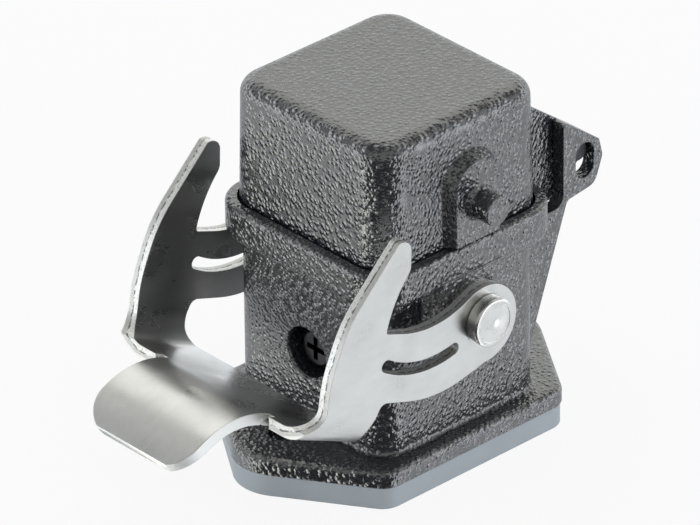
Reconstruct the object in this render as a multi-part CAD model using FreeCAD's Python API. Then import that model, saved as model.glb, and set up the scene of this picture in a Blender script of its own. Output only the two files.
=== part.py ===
"""Heavy duty rectangular connector: a bulkhead housing with a contact insert,
a hinged protection cover and one sheet steel locking lever.

Frame: X to the right along the front, Y to the back, Z up.
The origin is the middle of the body, on the underside of the flange gasket.
All lengths are millimetres and all angles are degrees.
"""
import FreeCAD
import Part
import math
import os

Vector = FreeCAD.Vector

# Clearances
running_gap = 0.05
seat_gap = 0.05
press_gap = 0.01
slot_gap = 0.08
slide_gap = 0.20
cover_gap = 0.30

# How far a cut runs past a face, and how far a rib sinks into its wall
past = 1.0
sink = 0.5

# Main sizes that the rest follows
body_half = 13.0
pivot_height = 21.4

# Flange and its gasket
flange_side_margin = 2.5
flange_half_width = body_half + flange_side_margin
flange_end_margin = 11.4
flange_tip = body_half + flange_end_margin
flange_slope = 33.4
flange_tip_radius = 6.0
flange_side_radius = 3.0
flange_thickness = 2.2
flange_edge_radius = 0.8
gasket_thickness = 2.9
gasket_inset = 0.2
mounting_margin = 4.0
mounting_spacing = 2 * (body_half + mounting_margin)
mounting_hole_radius = 1.7

# Body of the housing
body_corner_radius = 3.5
body_wall = 2.3
body_foot_radius = 0.6
lip_height = 3.1
lip_width = 0.8

# Collar round the mouth
collar_step = 2.0
collar_half = body_half + collar_step
collar_corner_radius = 5.4
collar_rise = 4.4
collar_bottom = pivot_height + collar_rise
collar_height = 4.7
collar_top = collar_bottom + collar_height
collar_base = 1.1
collar_floor = collar_bottom + collar_base
collar_rim_radius = 0.6
collar_foot_radius = 1.1
seal_thickness = 1.15

# Screw that holds the insert, in the front wall
fixing_share = 0.673
fixing_height = fixing_share * pivot_height
fixing_recess_radius = 3.2
fixing_recess_depth = 3.0
fixing_web = 1.1
fixing_head_radius = 2.6
fixing_head_height = 1.5
fixing_head_edge = 0.6
cross_length = 3.0
cross_width = 0.7
cross_depth = 0.8
fixing_shank_radius = 1.5
fixing_shank_length = 3.8
fixing_pad_half = 4.5
fixing_pad_rise = 4.6
fixing_pad_top = fixing_height + fixing_pad_rise
recess_chamfer = 0.25

# Cover
collar_border = 1.5
cover_half_x = collar_half - collar_border
cover_trim = 0.25
cover_half_y = cover_half_x - cover_trim
cover_corner_radius = 4.0
cover_draft = 0.015
cover_rise = 16.0
cover_top = collar_top + cover_rise
cover_top_radius = 2.1
cover_wall = 2.0
cover_roof = 2.2
cover_inner_corner = 2.4

# Bosses and pegs on both sides of the cover
boss_middle_y = 0.75
boss_rise = 7.2
boss_arch_height = collar_top + boss_rise
boss_face_half = 3.45
boss_flank = 1.5
peg_y = 0.9
peg_rise = 5.1
peg_height = collar_top + peg_rise
peg_radius = 1.85
peg_base_radius = 2.35
peg_base_height = 0.5
peg_overhang = 1.0
peg_end_radius = 0.2

# Hinge at the back
hinge_reach = 8.3
hinge_y = collar_half + hinge_reach
hinge_rise = 0.5
hinge_height = collar_top + hinge_rise
hinge_pin_radius = 1.4
hinge_pin_recess = 0.9
hinge_pin_chamfer = 0.2
hinge_hub_radius = 2.35
hinge_float = 1.8
lug_outer = 9.5
lug_thickness = 1.8
lug_reach = 3.5
lug_front = hinge_y - lug_reach
lug_gap_drop = 0.6
lug_gap_bottom = collar_bottom - lug_gap_drop
lug_heel_step = 0.65
lug_heel_y = lug_front + lug_heel_step
lug_heel_height = collar_bottom - seat_gap
lug_heel_radius = 0.8
lug_gap_radius = 1.5
lug_crest_radius = 0.5
lug_border = 0.6
lug_chin = 1.7
ear_thickness = 1.9
ear_root_rise = 10.5
ear_root_height = collar_top + ear_root_rise
ear_lobe_drop = 0.4
ear_lobe_height = collar_bottom - ear_lobe_drop
ear_lobe_width = 1.7
ear_lobe_radius = 0.6
ear_rim_gap = 0.4
ear_tip_radius = 1.0
ear_chin_radius = 2.0

# Locking lever, folded from one sheet
sheet = 1.5
arm_gap = 0.7
lever_inner = collar_half + arm_gap
lever_bend_radius = 3.5
pivot_y = -0.4
eye_drop = 0.9
eye_radius = 5.1
eye_shoulder_y = 1.8
eye_shoulder_z = 4.8
cam_gap = 0.10
cam_start_angle = 138.0
cam_end_angle = 163.0
cam_lead_angle = 2.0
cam_heel_radius = 0.5

# Horn: angles about the pivot, and reaches beyond the cam edge
horn_tip_angle = 131.0
horn_tip_reach = 4.25
horn_tip_radius = 0.6
horn_back_angle = 127.4
horn_back_reach = 2.8
horn_back_radius = 1.5
horn_front_angle = 160.6
horn_front_reach = 6.6
horn_front_radius = 16.0

# Arm: distances from the pivot, forward along Y and up or down along Z
arm_top_forward = 7.6
arm_top_up = 1.1
arm_top_radius = 13.0
arm_bottom_forward = 7.9
arm_bottom_down = 7.75
arm_bottom_radius = 16.0
arm_heel_down = 4.8
arm_heel_radius = 1.1
arm_slot_half = 0.8
arm_slot_start = 5.0
arm_slot_start_down = 2.15
arm_slot_middle = 10.0
arm_slot_middle_down = 2.35
arm_slot_end = 15.6
arm_slot_end_down = 0.1

# Web and thumb tab of the lever
web_slope = 24.3
web_reach = 5.9
web_rear_y = -body_half - web_reach
web_drop = 9.2
web_rear_height = pivot_height - web_drop
web_length = 9.0
web_rear_rise = 1.2
web_rear_radius = 2.0
web_front_rise = 0.3
web_front_step = 2.2
web_front_radius = 3.0
web_flare_step = 3.0
web_flare_up = 0.9
web_flare_radius = 16.0
web_heel_step = 2.1
tab_half_width = 8.7
tab_radius = 11.0
tab_tip_angle = 51.2
tab_corner_radius = 4.6
tab_corner_angle = 38.0
relief_width = 1.15
relief_depth = 1.0

# Rivets, washers and bosses that carry the lever
rivet_head_radius = 3.1
rivet_head_height = 1.7
rivet_edge_radius = 0.35
rivet_shank_radius = 2.2
rivet_depth = 4.0
washer_radius = 4.2
washer_thickness = 0.5
pivot_boss_face = 4.6
pivot_boss_flank = 1.6

# Contact insert
insert_corner_radius = 1.5
insert_edge = 0.4
insert_proud = 3.5
contact_x_share = 0.514
front_row_share = -0.248
rear_row_share = 0.514
contact_share = 0.2286
contact_wall = 1.1
contact_bore_depth = 15.0
contact_slit = 0.5
contact_slit_length = 9.0
contact_foot = 2.0
contact_roof = 1.5
entry_radius = 1.7
wire_wall = 1.0
wire_bore_depth = 8.0
terminal_height = 5.0
terminal_wall = 0.95
terminal_head_step = 0.35
terminal_head_height = 1.1
screw_slot_width = 0.5
screw_slot_depth = 0.5
key_groove_half = 1.5
key_groove_depth = 0.8
key_groove_length = 12.0

# Earth contact inside the insert
earth_half_width = 3.2
earth_thickness = 1.4
earth_top_inset = 2.5
earth_block_depth = 3.3
earth_wall = 0.5
earth_screw_radius = 1.25
earth_screw_inset = 0.2
earth_bore_roof = 0.8

# Derived levels and faces
flange_bottom = gasket_thickness
flange_top = flange_bottom + flange_thickness
cavity_half = body_half - body_wall
lip_half = cavity_half - lip_width
insert_half = cavity_half - slide_gap
contact_x = contact_x_share * insert_half
contact_radius = contact_share * insert_half
contact_bore = contact_radius - contact_wall
wire_bore = contact_radius - wire_wall
terminal_thread_radius = contact_radius - terminal_wall
terminal_head_radius = terminal_thread_radius + terminal_head_step
insert_bottom = flange_bottom + lip_height
insert_top = collar_top + insert_proud
earth_top = insert_top - earth_top_inset
earth_block_half = contact_x - contact_radius - slide_gap
earth_block_top = fixing_height - fixing_shank_radius - earth_wall
earth_screw_height = earth_block_top - earth_screw_radius - earth_wall
earth_bottom = earth_screw_height - earth_screw_radius - earth_wall
seal_top = collar_floor + seal_thickness
cover_rim = seal_top + seat_gap
collar_inner_x = cover_half_x + cover_gap
collar_inner_y = cover_half_y + cover_gap
collar_inner_radius = cover_corner_radius + cover_gap
lever_outer = lever_inner + sheet
peg_reach = lever_outer + peg_overhang
eye_height = pivot_height - eye_drop
web_front_y = web_rear_y - web_length
lug_inner = lug_outer - lug_thickness
ear_outer = lug_inner - slide_gap
boss_face = collar_half
washer_inner = lever_inner - running_gap - washer_thickness
pad_inner = body_half - fixing_recess_depth - fixing_web
channel_depth = pad_inner - slide_gap


def in_plan(height):
    """Place a flat point on the level plane at this height."""
    return lambda u, v: Vector(u, v, height)


def in_side(x):
    """Place a flat point on the upright plane at this x, u along Y and v along Z."""
    return lambda u, v: Vector(x, u, v)


def rounded_wire(corners, place):
    """Closed wire round the corners (u, v, radius), each rounded by its own radius."""
    starts = []
    middles = []
    ends = []
    for index, (u, v, radius) in enumerate(corners):
        here = Vector(u, v, 0)
        back = Vector(*corners[index - 1][:2], 0).sub(here).normalize()
        ahead = Vector(*corners[(index + 1) % len(corners)][:2], 0).sub(here).normalize()
        half_angle = back.getAngle(ahead) / 2
        inward = back.add(ahead).normalize()
        reach = radius / math.tan(half_angle)
        starts.append(here + back * reach)
        ends.append(here + ahead * reach)
        middles.append(here + inward * (radius / math.sin(half_angle) - radius))
    edges = []
    for index, (u, v, radius) in enumerate(corners):
        start, middle, end = (place(p.x, p.y) for p in (starts[index], middles[index], ends[index]))
        if radius > 0:
            edges.append(Part.Arc(start, middle, end).toShape())
        following = starts[(index + 1) % len(corners)]
        target = place(following.x, following.y)
        if end.distanceToPoint(target) > 1e-6:
            edges.append(Part.LineSegment(end, target).toShape())
    return Part.Wire(edges)


def rectangle(half_x, half_y, radius):
    """Corners of a rectangle about the middle, for rounded_wire."""
    return [(half_x, -half_y, radius), (half_x, half_y, radius),
            (-half_x, half_y, radius), (-half_x, -half_y, radius)]


def block(half_x, half_y, radius, bottom, top):
    """Upright prism with a rounded rectangular plan."""
    wire = rounded_wire(rectangle(half_x, half_y, radius), in_plan(bottom))
    return Part.Face(wire).extrude(Vector(0, 0, top - bottom))


def side_plate(corners, x_low, x_high):
    """Plate cut to a side outline, standing between two x planes."""
    wire = rounded_wire(corners, in_side(x_low))
    return Part.Face(wire).extrude(Vector(x_high - x_low, 0, 0))


def box(x_low, x_high, y_low, y_high, z_low, z_high):
    """Plain box between six planes."""
    corner = Vector(x_low, y_low, z_low)
    return Part.makeBox(x_high - x_low, y_high - y_low, z_high - z_low, corner)


def round_x(radius, x_low, x_high, y, z):
    """Cylinder along X."""
    return Part.makeCylinder(radius, x_high - x_low, Vector(x_low, y, z), Vector(1, 0, 0))


def round_y(radius, y_low, y_high, x, z):
    """Cylinder along Y."""
    return Part.makeCylinder(radius, y_high - y_low, Vector(x, y_low, z), Vector(0, 1, 0))


def round_z(radius, z_low, z_high, x, y):
    """Cylinder along Z."""
    return Part.makeCylinder(radius, z_high - z_low, Vector(x, y, z_low), Vector(0, 0, 1))


def mirror_x(shape):
    """The same piece on the left side."""
    return shape.mirror(Vector(0, 0, 0), Vector(1, 0, 0))


def joined(shapes):
    """One solid from overlapping or touching shapes."""
    return shapes[0].fuse(shapes[1:]).removeSplitter()


def edges_at(shape, keep):
    """Edges whose middle point passes the test."""
    found = []
    for edge in shape.Edges:
        middle = edge.valueAt((edge.FirstParameter + edge.LastParameter) / 2)
        if keep(middle):
            found.append(edge)
    return found


def near(a, b):
    """True where two lengths are the same within rounding."""
    return abs(a - b) < 1e-3


def flange_corners(inset):
    """Long hexagon of the flange, drawn in by an inset."""
    tip = flange_tip - inset / math.cos(math.radians(flange_slope))
    side = flange_half_width - inset
    shoulder = tip - side * math.tan(math.radians(flange_slope))
    tip_radius = flange_tip_radius - inset
    side_radius = flange_side_radius - inset
    return [(0, -tip, tip_radius), (side, -shoulder, side_radius), (side, shoulder, side_radius),
            (0, tip, tip_radius), (-side, shoulder, side_radius), (-side, -shoulder, side_radius)]


def mounting_holes(bottom, top):
    """The two holes of the flange, one in front and one behind."""
    return [round_z(mounting_hole_radius, bottom, top, 0, sign * mounting_spacing / 2)
            for sign in (-1, 1)]


def make_flange():
    """Flange plate with a rounded upper edge."""
    wire = rounded_wire(flange_corners(0), in_plan(flange_bottom))
    plate = Part.Face(wire).extrude(Vector(0, 0, flange_thickness))
    upper = edges_at(plate, lambda p: near(p.z, flange_top))
    return plate.makeFillet(flange_edge_radius, upper)


def make_collar():
    """Rounded collar that takes the rim of the cover."""
    collar = block(collar_half, collar_half, collar_corner_radius, collar_bottom, collar_top)
    collar = collar.makeFillet(collar_rim_radius, edges_at(collar, lambda p: near(p.z, collar_top)))
    return collar.makeFillet(collar_foot_radius, edges_at(collar, lambda p: near(p.z, collar_bottom)))


def arch_wire(middle_y, arch_height, half, bottom, x):
    """Outline of an arch in the side plane at this x."""
    left_foot = Vector(x, middle_y - half, bottom)
    left = Vector(x, middle_y - half, arch_height)
    crown = Vector(x, middle_y, arch_height + half)
    right = Vector(x, middle_y + half, arch_height)
    right_foot = Vector(x, middle_y + half, bottom)
    return Part.Wire([Part.LineSegment(left_foot, left).toShape(),
                      Part.Arc(left, crown, right).toShape(),
                      Part.LineSegment(right, right_foot).toShape(),
                      Part.LineSegment(right_foot, left_foot).toShape()])


def hanging_wire(middle_y, round_height, half, top, x):
    """Outline of a tongue with a round lower end in the side plane at this x."""
    left_top = Vector(x, middle_y - half, top)
    left = Vector(x, middle_y - half, round_height)
    bottom = Vector(x, middle_y, round_height - half)
    right = Vector(x, middle_y + half, round_height)
    right_top = Vector(x, middle_y + half, top)
    return Part.Wire([Part.LineSegment(left_top, left).toShape(),
                      Part.Arc(left, bottom, right).toShape(),
                      Part.LineSegment(right, right_top).toShape(),
                      Part.LineSegment(right_top, left_top).toShape()])


def make_pivot_boss():
    """Boss under the collar that carries a lever rivet, with sloping flanks."""
    foot = body_half - seat_gap
    face = washer_inner
    wide = hanging_wire(pivot_y, pivot_height, pivot_boss_face + pivot_boss_flank,
                        collar_bottom + collar_foot_radius, foot)
    narrow = hanging_wire(pivot_y, pivot_height, pivot_boss_face,
                          collar_bottom + collar_foot_radius, face)
    return Part.makeLoft([wide, narrow], True, True)


def top_edge_height(y):
    """Height of the sloping upper edge that ears and lugs share."""
    crest = hinge_height + hinge_hub_radius / math.cos(math.radians(ear_slope))
    return crest - (y - hinge_y) * math.tan(math.radians(ear_slope))


def make_lug():
    """Hinge lug with its gusset down to the flange, on the right side."""
    tip = hinge_y + hinge_hub_radius + lug_border
    crest = tip - lug_border
    root = body_half - sink
    buried = collar_floor - sink
    outline = [(root, flange_top - sink, 0),
               (body_half, flange_top - sink, 0),
               (lug_heel_y, lug_heel_height, lug_heel_radius),
               (hinge_y + lug_chin, lug_heel_height + lug_border, lug_chin),
               (tip, hinge_height - 2 * lug_border, lug_gap_radius),
               (crest, top_edge_height(crest), lug_crest_radius),
               (lug_front, top_edge_height(lug_front), lug_crest_radius),
               (lug_front, lug_gap_bottom, lug_gap_radius),
               (collar_half - sink, lug_gap_bottom, 0),
               (collar_half - sink, buried, 0),
               (root, buried, 0)]
    plate = side_plate(outline, lug_inner, lug_outer)
    slot_half = hinge_pin_radius + slot_gap
    low = hinge_height - hinge_float
    inner = lug_inner - past
    outer = lug_outer + past
    slot = [round_x(slot_half, inner, outer, hinge_y, z) for z in (low, hinge_height)]
    slot.append(box(inner, outer, hinge_y - slot_half, hinge_y + slot_half, low, hinge_height))
    return plate.cut(slot)


def make_shell():
    """Flange and body in one, with a small fillet where they meet."""
    body = block(body_half, body_half, body_corner_radius, flange_bottom, collar_bottom + past)
    shell = joined([make_flange(), body])
    foot = edges_at(shell, lambda p: near(p.z, flange_top) and max(
        abs(p.x), abs(p.y)) < body_half + running_gap)
    return shell.makeFillet(body_foot_radius, foot)


def make_housing():
    """Die cast bulkhead housing: flange, body, collar, hinge lugs and pivot bosses."""
    pad = box(-fixing_pad_half, fixing_pad_half, -cavity_half - sink, -pad_inner,
              flange_bottom, fixing_pad_top)
    boss = make_pivot_boss()
    lug = make_lug()
    shell = joined([make_shell(), make_collar(), boss, mirror_x(boss), lug, mirror_x(lug)])
    shell = shell.cut([
        block(cavity_half, cavity_half, insert_corner_radius, insert_bottom, collar_top + past),
        block(lip_half, lip_half, insert_corner_radius, flange_bottom - past, insert_bottom + past),
        block(collar_inner_x, collar_inner_y, collar_inner_radius, collar_floor,
              collar_top + past)])
    shell = shell.fuse(pad).removeSplitter()
    holes = mounting_holes(flange_bottom - past, flange_top + past)
    holes.append(round_y(fixing_recess_radius, -body_half - past,
                         -body_half + fixing_recess_depth, 0, fixing_height))
    holes.append(round_y(fixing_shank_radius + running_gap, -body_half, -pad_inner + past,
                         0, fixing_height))
    for sign in (-1, 1):
        inner, outer = sorted((sign * (washer_inner - rivet_depth), sign * (washer_inner + past)))
        holes.append(round_x(rivet_shank_radius + press_gap, inner, outer, pivot_y, pivot_height))
    shell = shell.cut(holes)
    rim = edges_at(shell, lambda p: near(p.y, -body_half) and near(
        math.hypot(p.x, p.z - fixing_height), fixing_recess_radius))
    return shell.makeChamfer(recess_chamfer, rim)


def make_flange_gasket():
    """Soft gasket under the flange."""
    wire = rounded_wire(flange_corners(gasket_inset), in_plan(0))
    sheet_body = Part.Face(wire).extrude(Vector(0, 0, gasket_thickness))
    opening = block(lip_half, lip_half, insert_corner_radius, -past, gasket_thickness + past)
    return sheet_body.cut([opening] + mounting_holes(-past, gasket_thickness + past))


def make_collar_seal():
    """Square ring that lies on the floor of the collar."""
    outer = block(collar_inner_x - slide_gap, collar_inner_y - slide_gap,
                  collar_inner_radius - slide_gap, collar_floor, seal_top)
    inner_half = cavity_half + cover_gap
    inner = block(inner_half, inner_half, insert_corner_radius, collar_floor - past, seal_top + past)
    return outer.cut(inner)


def cover_section(half_x, half_y, radius, height):
    """Outline of the cover at a height, wider below by the casting draft."""
    grow = (collar_top - height) * cover_draft
    return rounded_wire(rectangle(half_x + grow, half_y + grow, radius), in_plan(height))


def make_cover_boss():
    """Arched pad on the right side of the cover, flush with the collar, with its peg."""
    foot = cover_half_x - cover_wall / 2
    wide = arch_wire(boss_middle_y, boss_arch_height, boss_face_half + boss_flank,
                     collar_top + slide_gap, foot)
    narrow = arch_wire(boss_middle_y, boss_arch_height, boss_face_half,
                       collar_top + slide_gap, boss_face)
    pad = Part.makeLoft([wide, narrow], True, True)
    base = Part.makeCone(peg_base_radius, peg_radius, peg_base_height,
                         Vector(boss_face, peg_y, peg_height), Vector(1, 0, 0))
    peg = round_x(peg_radius, foot, peg_reach, peg_y, peg_height)
    peg = peg.makeFillet(peg_end_radius, edges_at(peg, lambda p: near(p.x, peg_reach)))
    return joined([pad, base, peg])


def make_ear():
    """Hinge ear on the back of the cover, on the right side."""
    root = cover_half_y - cover_wall / 2
    hub_low = hinge_height - hinge_hub_radius
    foot = collar_top + ear_rim_gap
    tip = hinge_y + hinge_hub_radius - slide_gap
    lobe = lug_front - ear_lobe_width / 2
    outline = [(root, foot, 0),
               (collar_half + ear_lobe_radius, foot, ear_rim_gap),
               (lobe, ear_lobe_height, ear_lobe_radius),
               (lobe + ear_lobe_width, ear_lobe_height, ear_lobe_radius),
               (hinge_y + ear_rim_gap, hub_low, ear_chin_radius),
               (tip, hinge_height - ear_lobe_width / 2, ear_tip_radius),
               (tip, top_edge_height(tip), ear_tip_radius),
               (root, top_edge_height(root), 0)]
    plate = side_plate(outline, ear_outer - ear_thickness, ear_outer)
    bore = round_x(hinge_pin_radius + press_gap, 0, lug_outer, hinge_y, hinge_height)
    return plate.cut(bore)


def make_cover():
    """Die cast cover: hollow cap, side bosses with pegs and two hinge ears."""
    shell = Part.makeLoft([cover_section(cover_half_x, cover_half_y, cover_corner_radius, height)
                           for height in (cover_rim, cover_top)], True, True)
    shell = shell.makeFillet(cover_top_radius, edges_at(shell, lambda p: near(p.z, cover_top)))
    boss = make_cover_boss()
    ear = make_ear()
    outside = joined([shell, boss, mirror_x(boss), ear, mirror_x(ear)])
    hollow = Part.makeLoft([cover_section(cover_half_x - cover_wall, cover_half_y - cover_wall,
                                          cover_inner_corner, height)
                            for height in (cover_rim - past, cover_top - cover_roof)], True, True)
    return outside.cut(hollow)


def polar(angle, distance):
    """Point (y, z) at this angle and distance from the lever pivot."""
    turn = math.radians(angle)
    return pivot_y + distance * math.cos(turn), pivot_height + distance * math.sin(turn)


def cam_corner(angle, off, radius):
    """Corner of the outline on a tangent of the cam circle, off degrees past its contact."""
    return (*polar(angle, cam_radius / math.cos(math.radians(off))), radius)


def horn_corner(angle, reach, radius):
    """Corner of the horn, this far outside the cam circle."""
    return (*polar(angle, cam_radius + reach), radius)


def lever_side():
    """Side outline of the lever: horn, cam edge, arm and lower plate."""
    front_height = web_top(web_front_y)
    below = web_rear_height - lever_bend_radius
    cam_half = (cam_end_angle - cam_start_angle) / 2
    return [horn_corner(horn_tip_angle, horn_tip_reach, horn_tip_radius),
            horn_corner(horn_back_angle, horn_back_reach, horn_back_radius),
            cam_corner(cam_start_angle - cam_lead_angle, cam_lead_angle, horn_back_radius),
            cam_corner(cam_start_angle + cam_half, cam_half, cam_radius),
            cam_corner(cam_end_angle + cam_lead_angle, cam_lead_angle, cam_heel_radius),
            (pivot_y - arm_top_forward, pivot_height + arm_top_up, arm_top_radius),
            (pivot_y - eye_shoulder_y, eye_height + eye_shoulder_z, 0),
            (pivot_y, eye_height, 0),
            (pivot_y, eye_height - eye_radius, 0),
            (pivot_y - arm_bottom_forward, pivot_height - arm_bottom_down, arm_bottom_radius),
            (web_rear_y + web_heel_step, pivot_height - arm_heel_down, arm_heel_radius),
            (web_rear_y, web_rear_height + web_rear_rise, web_rear_radius),
            (web_rear_y, below, 0),
            (web_front_y, below, 0),
            (web_front_y, front_height + web_front_rise, web_front_rise),
            (web_front_y + web_front_step, front_height + 3 * web_front_rise, web_front_radius),
            (web_front_y + web_flare_step, pivot_height + web_flare_up, web_flare_radius),
            horn_corner(horn_front_angle, horn_front_reach, horn_front_radius)]


def web_top(y):
    """Height of the upper face of the sloping web."""
    return web_rear_height + (web_rear_y - y) * math.tan(math.radians(web_slope))


def make_channel():
    """U section of the folded sheet, drawn out along the slope of the web."""
    tall = 2 * pivot_height
    outer_radius = lever_bend_radius + sheet
    slope = math.radians(web_slope)
    along = Vector(0, -math.cos(slope), math.sin(slope))
    up = Vector(0, math.sin(slope), math.cos(slope))
    start = Vector(0, web_rear_y, web_rear_height) - along * tall

    def place(u, v):
        return start + Vector(u, 0, 0) + up * v

    section = [(lever_outer, tall, 0), (lever_inner, tall, 0),
               (lever_inner, 0, lever_bend_radius), (-lever_inner, 0, lever_bend_radius),
               (-lever_inner, tall, 0), (-lever_outer, tall, 0),
               (-lever_outer, -sheet, outer_radius), (lever_outer, -sheet, outer_radius)]
    return Part.Face(rounded_wire(section, place)).extrude(along * 2 * tall)


def make_tab():
    """Thumb tab: the web bent over in one arc, with round corners at its tip."""
    slope = math.radians(web_slope)
    start_y = web_front_y + slide_gap
    centre_y = start_y - tab_radius * math.sin(slope)
    centre_z = web_top(start_y) - tab_radius * math.cos(slope)
    tip_angle = -math.radians(tab_tip_angle)

    def on_arc(radius, angle):
        return Vector(-tab_half_width, centre_y + radius * math.sin(angle),
                      centre_z + radius * math.cos(angle))

    low = tab_radius - sheet
    middle = (slope + tip_angle) / 2
    upper = Part.Arc(on_arc(tab_radius, slope), on_arc(tab_radius, middle),
                     on_arc(tab_radius, tip_angle)).toShape()
    lower = Part.Arc(on_arc(low, tip_angle), on_arc(low, middle), on_arc(low, slope)).toShape()
    tip = Part.LineSegment(on_arc(tab_radius, tip_angle), on_arc(low, tip_angle)).toShape()
    root = Part.LineSegment(on_arc(low, slope), on_arc(tab_radius, slope)).toShape()
    band = Part.Face(Part.Wire([upper, tip, lower, root])).extrude(Vector(2 * tab_half_width, 0, 0))
    lean = math.radians(tab_corner_angle)
    outward = Vector(0, -math.sin(lean), math.cos(lean))
    ahead = Vector(0, -math.cos(lean), -math.sin(lean))
    centre = Vector(0, centre_y, centre_z)
    tip_ahead = tab_radius * math.sin(-lean - tip_angle)

    def square_on(u, v):
        return centre + Vector(u, 0, 0) + ahead * v

    plan = rounded_wire([(-tab_half_width, tip_ahead, tab_corner_radius),
                         (tab_half_width, tip_ahead, tab_corner_radius),
                         (tab_half_width, -tab_radius - past, 0),
                         (-tab_half_width, -tab_radius - past, 0)], square_on)
    return band.common(Part.Face(plan).extrude(outward * 2 * tab_radius))


def make_arm_slot():
    """Curved slot that lightens each arm."""
    first, middle, last = (Vector(0, pivot_y - forward, pivot_height - down) for forward, down in (
        (arm_slot_end, arm_slot_end_down), (arm_slot_middle, arm_slot_middle_down),
        (arm_slot_start, arm_slot_start_down)))
    circle = Part.Circle(first, middle, last)
    reach = lever_outer + past
    centre = circle.Center
    outer = round_x(circle.Radius + arm_slot_half, -reach, reach, centre.y, centre.z)
    inner = round_x(circle.Radius - arm_slot_half, -reach - past, reach + past,
                    centre.y, centre.z)
    apex = Vector(-reach, centre.y, centre.z)
    sector = Part.Face(Part.makePolygon([
        apex, apex + (first - centre) * 2, apex + (last - centre) * 2, apex]))
    sector = sector.extrude(Vector(2 * reach, 0, 0))
    ends = [round_x(arm_slot_half, -reach, reach, p.y, p.z) for p in (first, last)]
    return joined([outer.cut(inner).common(sector)] + ends)


def make_locking_lever():
    """Sheet steel lever: two arms with hooked horns, a sloping web and a thumb tab."""
    reach = lever_outer + past
    side = joined([side_plate(lever_side(), -reach, reach),
                   round_x(eye_radius, -reach, reach, pivot_y, eye_height)])
    lever = joined([make_channel().common(side), make_tab()])
    cuts = [make_arm_slot(),
            round_x(rivet_shank_radius + running_gap, -reach, reach, pivot_y, pivot_height)]
    for sign in (-1, 1):
        low, high = sorted((sign * tab_half_width, sign * (tab_half_width + relief_width)))
        cuts.append(box(low, high, web_front_y - past, web_front_y + relief_depth,
                        flange_top, pivot_height))
    return lever.cut(cuts)


def make_rivet():
    """Rivet with a flat round head, on the right side."""
    head_inner = lever_outer + running_gap
    head_outer = head_inner + rivet_head_height
    head = round_x(rivet_head_radius, head_inner, head_outer, pivot_y, pivot_height)
    head = head.makeFillet(rivet_edge_radius, edges_at(head, lambda p: near(p.x, head_outer)))
    shank = round_x(rivet_shank_radius, washer_inner - rivet_depth + seat_gap, head_inner,
                    pivot_y, pivot_height)
    return joined([head, shank])


def make_washer():
    """Washer between the boss and the lever, on the right side."""
    ring = round_x(washer_radius, washer_inner, washer_inner + washer_thickness,
                   pivot_y, pivot_height)
    return ring.cut(round_x(rivet_shank_radius + press_gap, washer_inner - past,
                            lever_outer, pivot_y, pivot_height))


def make_hinge_pin():
    """Straight pin, pressed into the ears and floating in the slots of the lugs."""
    reach = lug_outer - hinge_pin_recess
    pin = round_x(hinge_pin_radius, -reach, reach, hinge_y, hinge_height)
    return pin.makeChamfer(hinge_pin_chamfer, edges_at(pin, lambda p: near(abs(p.x), reach)))


def contact_places():
    """Sign of x and the y of each power contact."""
    rows = (front_row_share * insert_half, rear_row_share * insert_half)
    return [(sign, y) for y in rows for sign in (-1, 1)]


def make_insert_body():
    """Moulded insulating body with a cavity for each contact."""
    body = block(insert_half, insert_half, insert_corner_radius, insert_bottom, insert_top)
    body = body.makeChamfer(insert_edge, edges_at(body, lambda p: near(p.z, insert_top)))
    plate_back = channel_depth - earth_thickness
    screw_tip = -body_half + fixing_recess_depth + fixing_shank_length
    cuts = [box(-fixing_pad_half - slide_gap, fixing_pad_half + slide_gap, -insert_half - past,
                -channel_depth, insert_bottom - past, fixing_pad_top + slide_gap),
            box(-earth_half_width - seat_gap, earth_half_width + seat_gap,
                -channel_depth - seat_gap, -plate_back + seat_gap,
                earth_bottom - seat_gap, insert_top + past),
            box(-earth_block_half - seat_gap, earth_block_half + seat_gap,
                -plate_back - seat_gap, -plate_back + earth_block_depth + seat_gap,
                insert_bottom - past, earth_block_top + seat_gap),
            round_y(fixing_shank_radius + slide_gap, -plate_back - past, screw_tip + sink,
                    0, fixing_height)]
    for sign, y in contact_places():
        x = sign * contact_x
        roof = insert_top - contact_roof
        cuts.append(round_z(contact_radius + seat_gap, insert_bottom - past, roof, x, y))
        cuts.append(round_z(entry_radius, roof - past, insert_top + past, x, y))
        low, high = sorted((x, sign * (insert_half + past)))
        cuts.append(round_x(terminal_head_radius + slide_gap, low, high, y,
                            insert_bottom + terminal_height))
    for sign in (-1, 1):
        low, high = sorted((sign * (insert_half - key_groove_depth), sign * (insert_half + past)))
        cuts.append(box(low, high, -key_groove_half, key_groove_half,
                        insert_top - key_groove_length, insert_top + past))
    return body.cut(cuts)


def make_contact(sign, y):
    """Turned socket with a slit mouth, a wire bore and a tapped cross hole."""
    x = sign * contact_x
    bottom = insert_bottom + contact_foot
    top = insert_top - contact_roof - seat_gap
    body = round_z(contact_radius, bottom, top, x, y)
    cross_low, cross_high = sorted((x, sign * insert_half))
    return body.cut([
        round_z(contact_bore, top - contact_bore_depth, top + past, x, y),
        round_z(wire_bore, bottom - past, bottom + wire_bore_depth, x, y),
        box(x - contact_slit / 2, x + contact_slit / 2, y - contact_radius - past,
            y + contact_radius + past, top - contact_slit_length, top + past),
        round_x(terminal_thread_radius + press_gap, cross_low, cross_high, y,
                insert_bottom + terminal_height)])


def make_terminal_screw(sign, y):
    """Slotted screw that clamps the wire in a contact."""
    height = insert_bottom + terminal_height
    seat = contact_x + contact_radius + seat_gap
    tip = contact_x + wire_bore
    head_top = seat + terminal_head_height
    screw = joined([round_x(terminal_thread_radius, tip, seat, y, height),
                    round_x(terminal_head_radius, seat, head_top, y, height)])
    slot_half = screw_slot_width / 2
    screw = screw.cut(box(head_top - screw_slot_depth, head_top + past, y - terminal_head_radius,
                          y + terminal_head_radius, height - slot_half, height + slot_half))
    return screw if sign > 0 else mirror_x(screw)


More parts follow.
